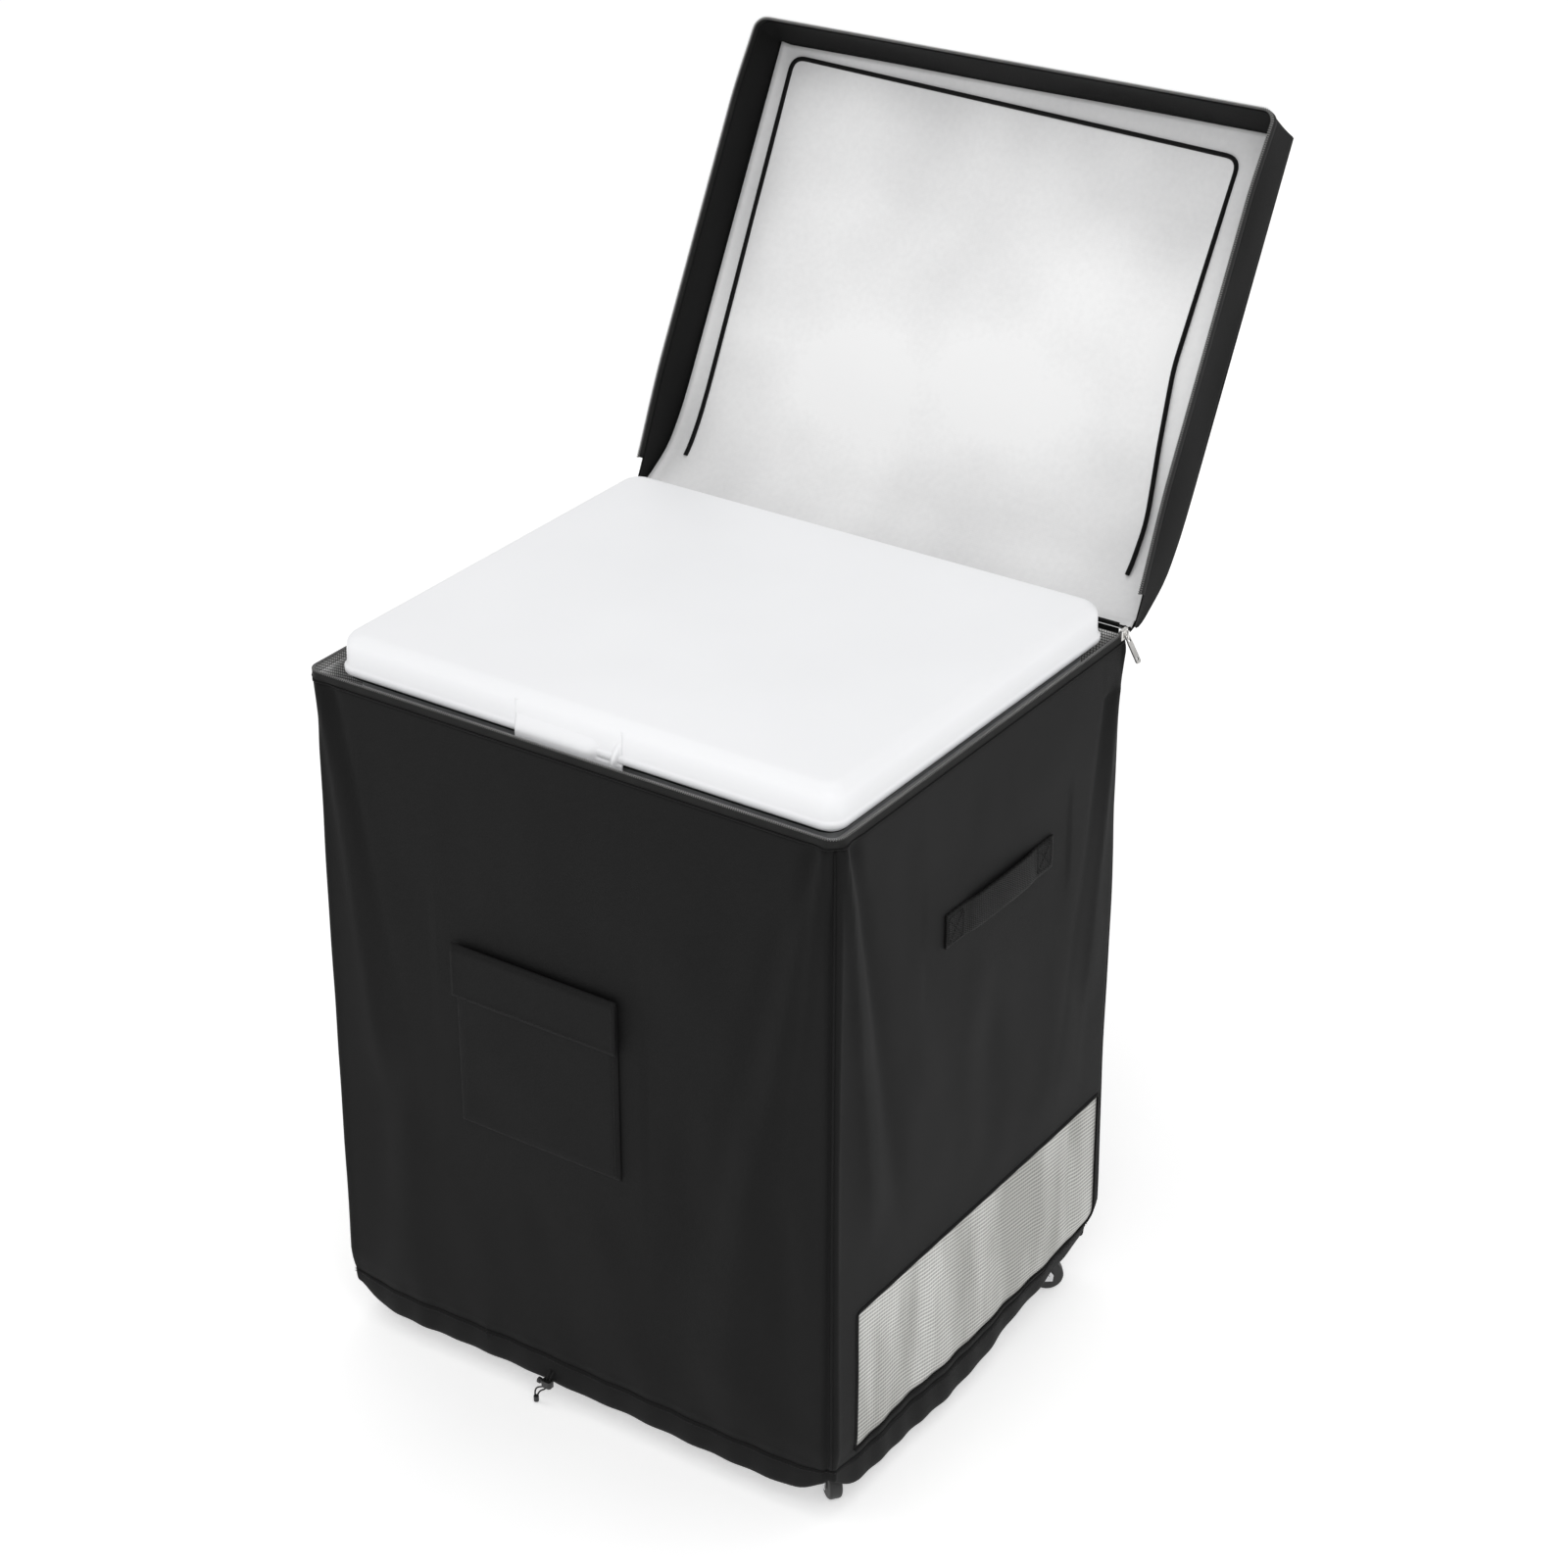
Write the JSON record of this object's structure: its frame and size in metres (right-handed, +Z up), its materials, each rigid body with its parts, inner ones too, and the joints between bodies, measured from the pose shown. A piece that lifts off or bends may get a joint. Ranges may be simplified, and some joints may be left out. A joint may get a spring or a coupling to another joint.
{
  "type": "chest freezer with cover",
  "caption": "Small chest freezer on casters inside a black zip-top fabric cover with a silver-lined top flap standing open, mesh side vents, pocket and hem drawcord.",
  "frame": {"origin": "on the floor under the middle of the cover skirt", "axes": "+X to the right along the front, +Y to the back, +Z up; the front faces -Y"},
  "size_m": [0.6976, 0.8742, 1.2874],
  "materials": {
    "black_oxford": "matte",
    "grey_mesh": "matte",
    "silver_lining": "satin",
    "black_binding": "matte",
    "black_webbing": "matte",
    "zip_tape": "matte",
    "zip_metal": "satin",
    "drawcord": "matte",
    "black_plastic": "satin",
    "white_enamel": "gloss",
    "base_steel": "matte",
    "insulation": "matte",
    "liner_plastic": "satin",
    "trim_plastic": "satin",
    "white_plastic": "satin",
    "gasket_rubber": "matte",
    "hinge_steel": "satin",
    "compressor_black": "gloss",
    "lamp_lens": "gloss",
    "coated_wire": "satin",
    "caster_chrome": "polished",
    "wheel_black": "satin"
  },
  "bodies": {
    "freezer": {"base_pan": "base_steel", "cabinet_foam": "insulation", "cabinet_shell": "white_enamel", "caster_plates": "caster_chrome", "compressor": "compressor_black", "compressor_grille": "trim_plastic", "compressor_mounts": "gasket_rubber", "control_panel": "trim_plastic", "cord_end_bead": "black_plastic", "cord_lock_body": "black_plastic", "drain_spout": "white_plastic", "drawcord_strand_a": "drawcord", "drawcord_strand_b": "drawcord", "handle_straps": "black_webbing", "hem_casing": "black_oxford", "hem_drawcord": "drawcord", "hinge_seam_strip": "black_oxford", "indicator_lamps": "lamp_lens", "lid_hinge_bases": "hinge_steel", "lid_hinge_pins": "hinge_steel", "pocket_body": "black_oxford", "power_inlet_gland": "black_plastic", "skirt_back": "black_oxford", "skirt_front": "black_oxford", "skirt_left": "black_oxford", "skirt_right": "black_oxford", "skirt_zip_tape": "zip_tape", "thermostat": "black_plastic", "top_trim": "trim_plastic", "tub_liner": "liner_plastic", "vent_mesh": "grey_mesh"},
    "flap": {"flap_panel": "black_oxford", "flap_walls": "black_oxford", "flap_lining": "silver_lining", "flap_piping": "black_binding", "flap_zip_tape": "zip_tape"},
    "lid": {"lid_shell": "white_plastic", "lid_liner": "liner_plastic", "lid_foam": "insulation", "lid_gasket": "gasket_rubber", "lid_grip": "white_plastic", "lid_hinge_arms": "hinge_steel"},
    "basket": {"storage_basket": "coated_wire"},
    "slider_right": {"zip_slider_right": "zip_metal"},
    "slider_left": {"zip_slider_left": "zip_metal"},
    "pull_right": {"zip_pull_right": "zip_metal"},
    "pull_left": {"zip_pull_left": "zip_metal"},
    "pocket_flap_body": {"pocket_flap": "black_oxford"},
    "cord_lock_button_body": {"cord_lock_button": "black_plastic"},
    "knob": {"thermostat_knob": "trim_plastic"},
    "drain_plug_body": {"drain_plug": "black_plastic"},
    "fork_front_left": {"caster_fork_front_left": "caster_chrome"},
    "wheel_front_left": {"caster_wheel_front_left": "wheel_black"},
    "fork_front_right": {"caster_fork_front_right": "caster_chrome"},
    "wheel_front_right": {"caster_wheel_front_right": "wheel_black"},
    "fork_back_left": {"caster_fork_back_left": "caster_chrome"},
    "wheel_back_left": {"caster_wheel_back_left": "wheel_black"},
    "fork_back_right": {"caster_fork_back_right": "caster_chrome"},
    "wheel_back_right": {"caster_wheel_back_right": "wheel_black"}
  },
  "joints": [
    {"name": "flap_hinge", "type": "hinge", "parent": "freezer", "child": "flap", "pos_m": [0, 0.274, 0.806], "axis": [-1, 0, 0], "range_deg": [-118.5, 50]},
    {"name": "lid_hinge", "type": "hinge", "parent": "freezer", "child": "lid", "pos_m": [0.01, 0.239, 0.806], "axis": [-1, 0, 0], "range_deg": [0, 75]},
    {"name": "basket_slide", "type": "slide", "parent": "freezer", "child": "basket", "axis": [1, 0, 0], "range_m": [0, 0.23]},
    {"name": "zip_slide_right", "type": "slide", "parent": "freezer", "child": "slider_right", "axis": [0, -1, 0], "range_m": [0, 0.5]},
    {"name": "zip_slide_left", "type": "slide", "parent": "freezer", "child": "slider_left", "axis": [0, -1, 0], "range_m": [0, 0.5]},
    {"name": "pull_swing_right", "type": "hinge", "parent": "slider_right", "child": "pull_right", "pos_m": [0.3258, 0.256, 0.806], "axis": [0, -1, 0], "range_deg": [-34, 140]},
    {"name": "pull_swing_left", "type": "hinge", "parent": "slider_left", "child": "pull_left", "pos_m": [-0.3258, 0.256, 0.806], "axis": [0, 1, 0], "range_deg": [-69, 105]},
    {"name": "pocket_flap_hinge", "type": "hinge", "parent": "freezer", "child": "pocket_flap_body", "pos_m": [-0.0405, -0.2817, 0.546], "axis": [-1, 0, 0], "range_deg": [0, 120]},
    {"name": "cord_lock_press", "type": "slide", "parent": "freezer", "child": "cord_lock_button_body", "axis": [1, 0, 0], "range_m": [0, 0.0024], "stiffness_N_per_m": 250, "springref_m": -0.001},
    {"name": "thermostat_turn", "type": "hinge", "parent": "freezer", "child": "knob", "pos_m": [0.2, -0.255, 0.125], "axis": [0, -1, 0], "range_deg": [-135, 135]},
    {"name": "drain_plug_pull", "type": "slide", "parent": "freezer", "child": "drain_plug_body", "axis": [0, -1, 0], "range_m": [0, 0.009]},
    {"name": "swivel_front_left", "type": "hinge", "parent": "freezer", "child": "fork_front_left", "pos_m": [-0.254, -0.217, 0.0435], "axis": [0, 0, 1], "continuous": true},
    {"name": "roll_front_left", "type": "hinge", "parent": "fork_front_left", "child": "wheel_front_left", "pos_m": [-0.27224, -0.2293, 0.018], "axis": [0.5592, -0.829, 0], "continuous": true},
    {"name": "swivel_front_right", "type": "hinge", "parent": "freezer", "child": "fork_front_right", "pos_m": [0.274, -0.217, 0.0435], "axis": [0, 0, 1], "continuous": true},
    {"name": "roll_front_right", "type": "hinge", "parent": "fork_front_right", "child": "wheel_front_right", "pos_m": [0.29134, -0.23054, 0.018], "axis": [0.6157, 0.788, 0], "continuous": true},
    {"name": "swivel_back_left", "type": "hinge", "parent": "freezer", "child": "fork_back_left", "pos_m": [-0.254, 0.195, 0.0435], "axis": [0, 0, 1], "continuous": true},
    {"name": "roll_back_left", "type": "hinge", "parent": "fork_back_left", "child": "wheel_back_left", "pos_m": [-0.27157, 0.20824, 0.018], "axis": [-0.6018, -0.7986, 0], "continuous": true},
    {"name": "swivel_back_right", "type": "hinge", "parent": "freezer", "child": "fork_back_right", "pos_m": [0.274, 0.195, 0.0435], "axis": [0, 0, 1], "continuous": true},
    {"name": "roll_back_right", "type": "hinge", "parent": "fork_back_right", "child": "wheel_back_right", "pos_m": [0.29134, 0.20854, 0.018], "axis": [-0.6157, 0.788, 0], "continuous": true}
  ]
}
